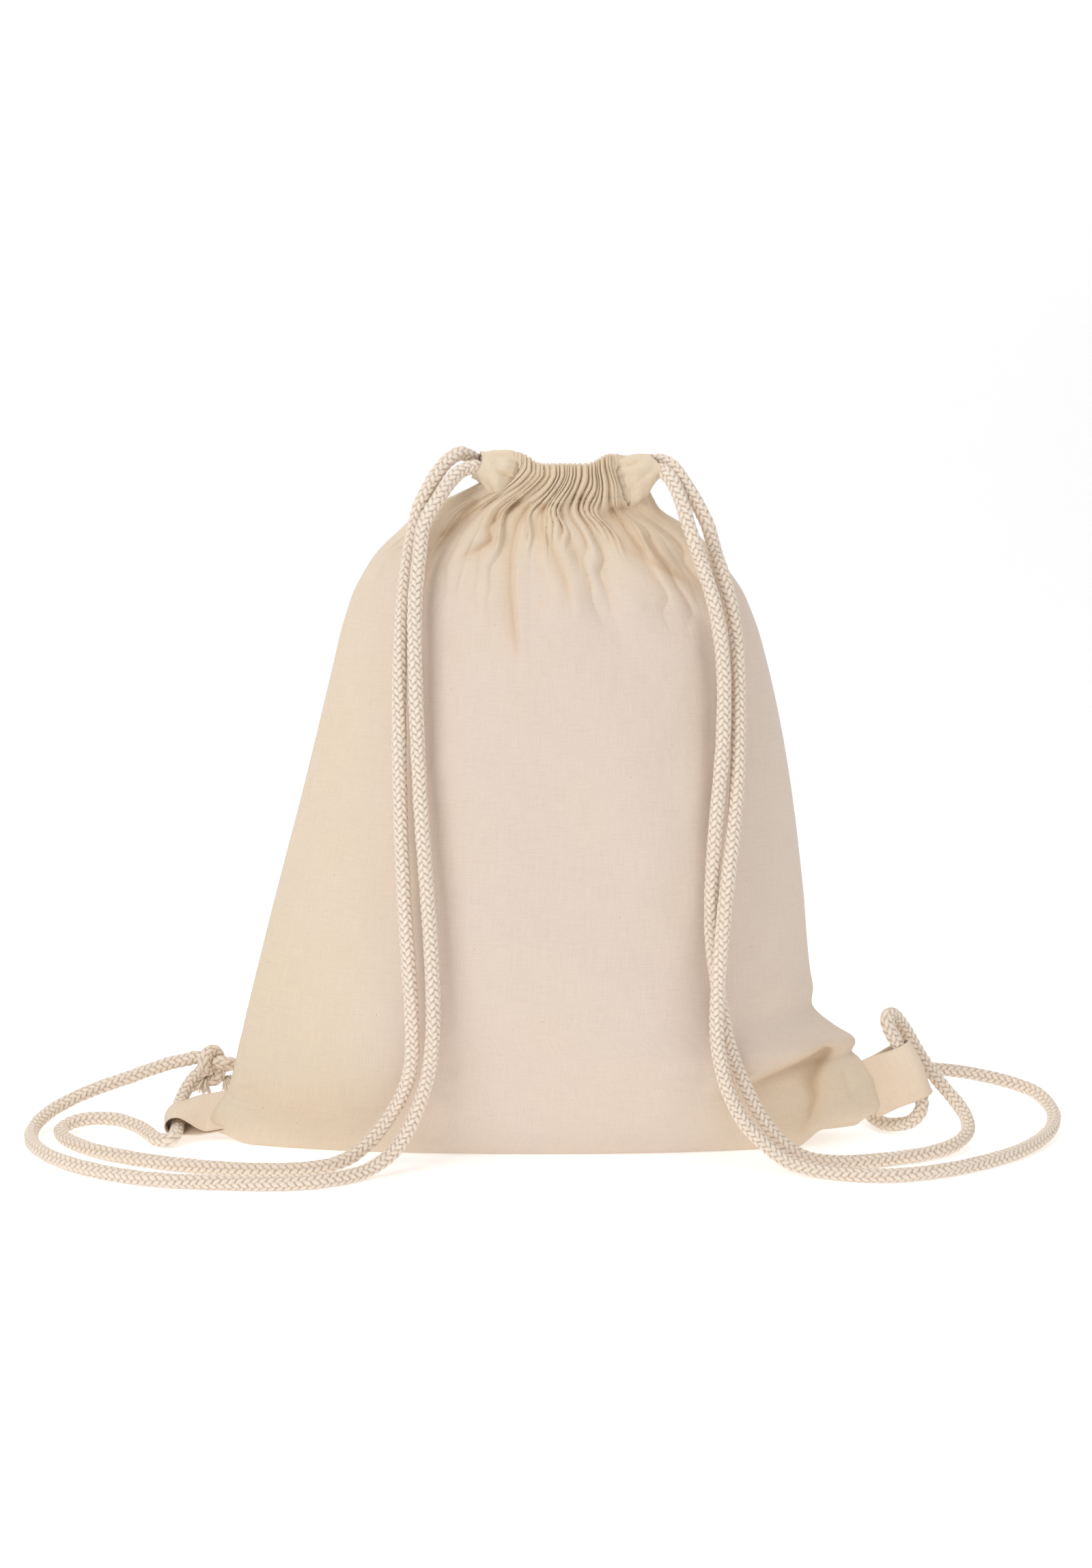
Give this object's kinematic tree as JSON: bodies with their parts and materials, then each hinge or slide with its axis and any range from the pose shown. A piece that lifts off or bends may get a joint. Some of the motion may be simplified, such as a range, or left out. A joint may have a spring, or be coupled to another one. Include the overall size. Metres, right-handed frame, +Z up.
{
  "type": "drawstring backpack",
  "caption": "Filled cotton drawstring gym sack, gathered at the neck by braided cords that double as shoulder straps and are knotted through bottom corner tabs.",
  "frame": {"origin": "on the floor under the middle of the bag's sewn base, between the two panels", "axes": "+Z up; -Y is the side that the straps hang on; +X is to the right when the strap side is seen"},
  "size_m": [0.5754, 0.1634, 0.38],
  "materials": {
    "canvas": "matt natural cotton",
    "tape": "matt folded cotton tape",
    "cord": "matt braided cotton",
    "thread": "matt sewing thread"
  },
  "bodies": {
    "bag": {"front_panel": "canvas", "back_panel": "canvas", "left_seam_allowance": "canvas", "right_seam_allowance": "canvas", "bottom_seam_allowance": "canvas", "left_seam_thread": "thread", "right_seam_thread": "thread", "bottom_seam_thread": "thread", "left_hem_sleeve": "canvas", "right_hem_sleeve": "canvas"},
    "front_lip": {"front_hem": "canvas", "front_hem_thread": "thread"},
    "back_lip": {"back_hem": "canvas", "back_hem_thread": "thread"},
    "left_front_run": {"left_cord_front_run": "cord"},
    "left_back_run": {"left_cord_back_run": "cord"},
    "right_front_run": {"right_cord_front_run": "cord"},
    "right_back_run": {"right_cord_back_run": "cord"},
    "left_strap": {"left_outer_strap": "cord", "left_inner_strap": "cord", "left_knot": "cord", "left_cord_ends": "cord", "left_tab": "tape", "left_tab_thread": "thread"},
    "right_strap": {"right_outer_strap": "cord", "right_inner_strap": "cord", "right_knot": "cord", "right_cord_ends": "cord", "right_tab": "tape", "right_tab_thread": "thread"}
  },
  "joints": [
    {"name": "mouth_open", "type": "hinge", "parent": "bag", "child": "front_lip", "pos_m": [0.015, 0, 0.29], "axis": [1, 0, 0], "range_deg": [0, 12]},
    {"name": "back_lip_open", "type": "hinge", "parent": "bag", "child": "back_lip", "pos_m": [0.015, 0, 0.29], "axis": [-1, 0, 0], "range_deg": [0, 12]},
    {"name": "left_front_feed", "type": "slide", "parent": "front_lip", "child": "left_front_run", "axis": [1, 0, 0], "range_m": [0, 0.018]},
    {"name": "right_front_feed", "type": "slide", "parent": "front_lip", "child": "right_front_run", "axis": [-1, 0, 0], "range_m": [0, 0.018]},
    {"name": "left_back_feed", "type": "slide", "parent": "back_lip", "child": "left_back_run", "axis": [1, 0, 0], "range_m": [0, 0.018]},
    {"name": "right_back_feed", "type": "slide", "parent": "back_lip", "child": "right_back_run", "axis": [-1, 0, 0], "range_m": [0, 0.018]},
    {"name": "left_strap_swing", "type": "hinge", "parent": "bag", "child": "left_strap", "pos_m": [-0.183, 0.007, 0.0125], "axis": [-0.3931, 0.0183, -0.9193], "range_deg": [0, 35]},
    {"name": "right_strap_swing", "type": "hinge", "parent": "bag", "child": "right_strap", "pos_m": [0.188, -0.001, 0.0315], "axis": [-0.3495, 0.0028, 0.9369], "range_deg": [0, 35]}
  ],
  "couplings": [
    {"joint": "back_lip_open", "follows": "mouth_open", "ratio": 1},
    {"joint": "left_front_feed", "follows": "mouth_open", "m_per_rad": 0.0859},
    {"joint": "left_back_feed", "follows": "mouth_open", "m_per_rad": 0.0859},
    {"joint": "right_front_feed", "follows": "mouth_open", "m_per_rad": 0.0859},
    {"joint": "right_back_feed", "follows": "mouth_open", "m_per_rad": 0.0859}
  ]
}
